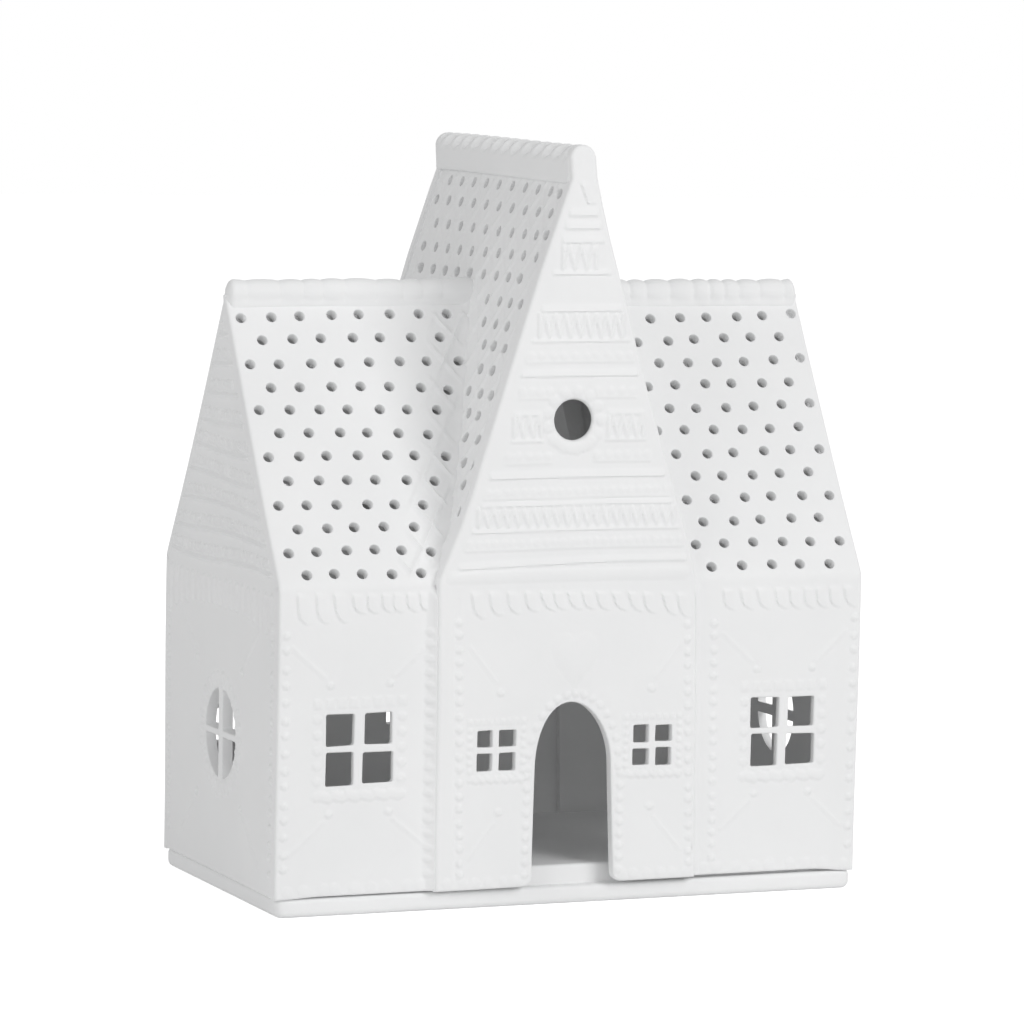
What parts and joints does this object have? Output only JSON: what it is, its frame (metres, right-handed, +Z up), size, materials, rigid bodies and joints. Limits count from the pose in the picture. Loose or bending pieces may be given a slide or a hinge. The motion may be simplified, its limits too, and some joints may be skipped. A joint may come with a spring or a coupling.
{
  "type": "tealight house",
  "caption": "White porcelain house with pierced steep roofs and a tall cross gable, lifted off a separate base plate that carries a tealight.",
  "frame": {"origin": "on the surface the base stands on, under the middle of the house", "axes": "+X right of the house seen from the front, +Y its back, +Z up"},
  "size_m": [0.177, 0.1008, 0.2122],
  "materials": {
    "house": "unglazed white porcelain, fine matt grain",
    "roof": "unglazed white porcelain, fine matt grain",
    "ridge": "unglazed white porcelain, fine matt grain",
    "base": "unglazed white porcelain, fine matt grain",
    "cup": "thin pressed sheet, bright",
    "wax": "smooth, slightly glossy",
    "wick": "braided cotton",
    "sustainer": "thin tinned sheet"
  },
  "bodies": {
    "base": {"base_plate": "base", "base_plinth": "base"},
    "house": {"front_centre_wall": "house", "back_centre_wall": "house", "front_left_wall": "house", "front_right_wall": "house", "back_left_wall": "house", "back_right_wall": "house", "left_end_wall": "house", "right_end_wall": "house", "left_front_roof": "roof", "left_back_roof": "roof", "right_front_roof": "roof", "right_back_roof": "roof", "gable_left_roof": "roof", "gable_right_roof": "roof", "gable_ridge_roll": "ridge", "left_ridge_roll": "ridge", "right_ridge_roll": "ridge"},
    "tealight": {"tealight_cup": "cup", "tealight_wax": "wax", "tealight_wick": "wick", "wick_sustainer": "sustainer"}
  },
  "joints": [
    {"name": "house_lift", "type": "slide", "parent": "base", "child": "house", "axis": [0, 0, 1], "range_m": [0, 0.06]},
    {"name": "tealight_lift", "type": "slide", "parent": "base", "child": "tealight", "axis": [0, 0, 1], "range_m": [0, 0.03]}
  ]
}
